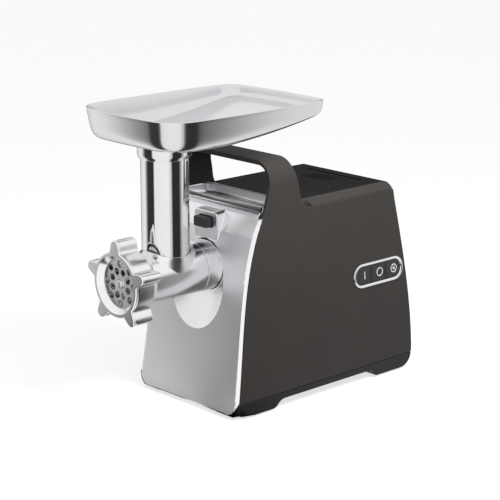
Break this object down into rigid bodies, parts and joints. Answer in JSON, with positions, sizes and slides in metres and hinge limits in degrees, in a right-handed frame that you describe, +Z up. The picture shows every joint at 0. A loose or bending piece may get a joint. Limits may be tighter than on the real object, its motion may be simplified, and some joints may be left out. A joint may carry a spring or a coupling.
{
  "type": "electric meat grinder",
  "caption": "Electric meat grinder: leaning motor housing with carrying handle, twist-lock grinding head, ring nut, upright feed tube and metal tray.",
  "frame": {"origin": "on the table under the middle of the whole machine's box, grinding head included", "axes": "+Z up; -Y the way the grinding head points; +X the side with the push buttons; +Y is the longest extent"},
  "size_m": [0.1558, 0.351, 0.311],
  "materials": {
    "housing_plastic": "satin moulded plastic",
    "base_plastic": "fine matt texture",
    "gloss_black": "high gloss",
    "satin_panel": "satin silver metallic lacquer",
    "cast_aluminium": "satin polished casting",
    "polished_metal": "mirror polished",
    "chrome_trim": "bright chrome",
    "steel": "ground",
    "rubber": "matt",
    "button_plastic": "satin",
    "white_nylon": "moulded nylon",
    "grey_nylon": "moulded nylon",
    "laminated_steel": "stacked laminations",
    "copper": "enamelled copper",
    "bronze": "sintered bronze",
    "carbon": "pressed carbon",
    "circuit_board": "solder mask"
  },
  "bodies": {
    "housing": {"left_side_shell": "housing_plastic", "right_side_shell": "housing_plastic", "handle_bar": "housing_plastic", "front_panel": "satin_panel", "top_cover": "gloss_black", "lid_hinge_pin": "steel", "storage_bin": "base_plastic", "rear_cover": "housing_plastic", "cord_gland": "rubber", "base_pan": "base_plastic", "left_front_foot": "rubber", "right_front_foot": "rubber", "left_rear_foot": "rubber", "right_rear_foot": "rubber", "base_screw_1": "steel", "base_screw_2": "steel", "base_screw_3": "steel", "base_screw_4": "steel", "switch_bezel": "chrome_trim", "switch_module": "grey_nylon", "control_board": "circuit_board", "latch_spring": "steel", "socket_retainer": "steel", "head_socket": "cast_aluminium", "idler_pin_1": "steel", "idler_pin_2": "steel", "gearbox_housing": "cast_aluminium", "gearbox_cover": "cast_aluminium", "output_bush": "bronze", "motor_stator": "laminated_steel", "upper_coil": "copper", "lower_coil": "copper", "front_bearing": "bronze", "rear_bearing": "bronze", "motor_bracket": "cast_aluminium", "left_brush": "carbon", "right_brush": "carbon"},
    "rotor": {"rotor_shaft": "steel", "rotor_core": "laminated_steel", "commutator": "copper", "cooling_fan": "grey_nylon"},
    "first_idler": {"idler_gear_1": "white_nylon"},
    "second_idler": {"idler_gear_2": "white_nylon"},
    "output": {"drive_shaft": "steel", "output_gear": "steel"},
    "auger": {"feed_screw": "cast_aluminium", "screw_coupling": "white_nylon", "cross_blade": "steel"},
    "collar": {"locking_collar": "cast_aluminium"},
    "head": {"head_barrel": "cast_aluminium", "feed_tube": "polished_metal"},
    "plate": {"cutting_plate": "steel"},
    "nut": {"ring_nut": "cast_aluminium"},
    "tray": {"tray": "polished_metal", "tray_neck": "polished_metal"},
    "release": {"release_button": "button_plastic"},
    "on_key": {"on_button": "button_plastic"},
    "off_key": {"off_button": "button_plastic"},
    "reverse_key": {"reverse_button": "button_plastic"},
    "lid": {"storage_lid": "gloss_black"}
  },
  "joints": [
    {"name": "motor_spin", "type": "hinge", "parent": "housing", "child": "rotor", "pos_m": [0, 0, 0.06667], "axis": [0, 1, 0], "continuous": true},
    {"name": "first_idler_spin", "type": "hinge", "parent": "housing", "child": "first_idler", "pos_m": [-0.009, 0, 0.09266], "axis": [0, 1, 0], "continuous": true},
    {"name": "second_idler_spin", "type": "hinge", "parent": "housing", "child": "second_idler", "pos_m": [0.018, 0, 0.11075], "axis": [0, 1, 0], "continuous": true},
    {"name": "drive_spin", "type": "hinge", "parent": "housing", "child": "output", "pos_m": [0, 0, 0.1445], "axis": [0, 1, 0], "continuous": true},
    {"name": "head_twist", "type": "hinge", "parent": "housing", "child": "collar", "pos_m": [0, -0.06, 0.1445], "axis": [0, -1, 0], "range_deg": [0, 35]},
    {"name": "head_pull", "type": "slide", "parent": "collar", "child": "head", "axis": [0, -1, 0], "range_m": [0, 0.06]},
    {"name": "auger_pull", "type": "slide", "parent": "output", "child": "auger", "axis": [0, -1, 0], "range_m": [0, 0.06]},
    {"name": "plate_slide", "type": "slide", "parent": "head", "child": "plate", "axis": [0, -1, 0], "range_m": [0, 0.009]},
    {"name": "ring_nut_turn", "type": "hinge", "parent": "plate", "child": "nut", "pos_m": [0, -0.163, 0.1445], "axis": [0, -1, 0], "range_deg": [0, 1080]},
    {"name": "tray_lift", "type": "slide", "parent": "head", "child": "tray", "axis": [0, 0, 1], "range_m": [0, 0.03]},
    {"name": "release_press", "type": "slide", "parent": "housing", "child": "release", "axis": [0, 1, 0], "range_m": [0, 0.004], "stiffness_N_per_m": 900, "springref_m": -0.002},
    {"name": "on_press", "type": "slide", "parent": "housing", "child": "on_key", "axis": [-0.999, 0, -0.045], "range_m": [0, 0.0025], "stiffness_N_per_m": 1200, "springref_m": -0.001},
    {"name": "off_press", "type": "slide", "parent": "housing", "child": "off_key", "axis": [-0.999, 0, -0.045], "range_m": [0, 0.0025], "stiffness_N_per_m": 1200, "springref_m": -0.001},
    {"name": "reverse_press", "type": "slide", "parent": "housing", "child": "reverse_key", "axis": [-0.999, 0, -0.045], "range_m": [0, 0.0025], "stiffness_N_per_m": 1200, "springref_m": -0.001},
    {"name": "lid_open", "type": "hinge", "parent": "housing", "child": "lid", "pos_m": [0, 0.1268, 0.2084], "axis": [-1, 0, 0], "range_deg": [0, 95]}
  ],
  "couplings": [
    {"joint": "first_idler_spin", "follows": "motor_spin", "ratio": -0.19565},
    {"joint": "second_idler_spin", "follows": "motor_spin", "ratio": 0.046584},
    {"joint": "drive_spin", "follows": "motor_spin", "ratio": -0.012811},
    {"joint": "auger_pull", "follows": "head_pull", "ratio": 1},
    {"joint": "plate_slide", "follows": "ring_nut_turn", "m_per_rad": 0.00047746}
  ]
}
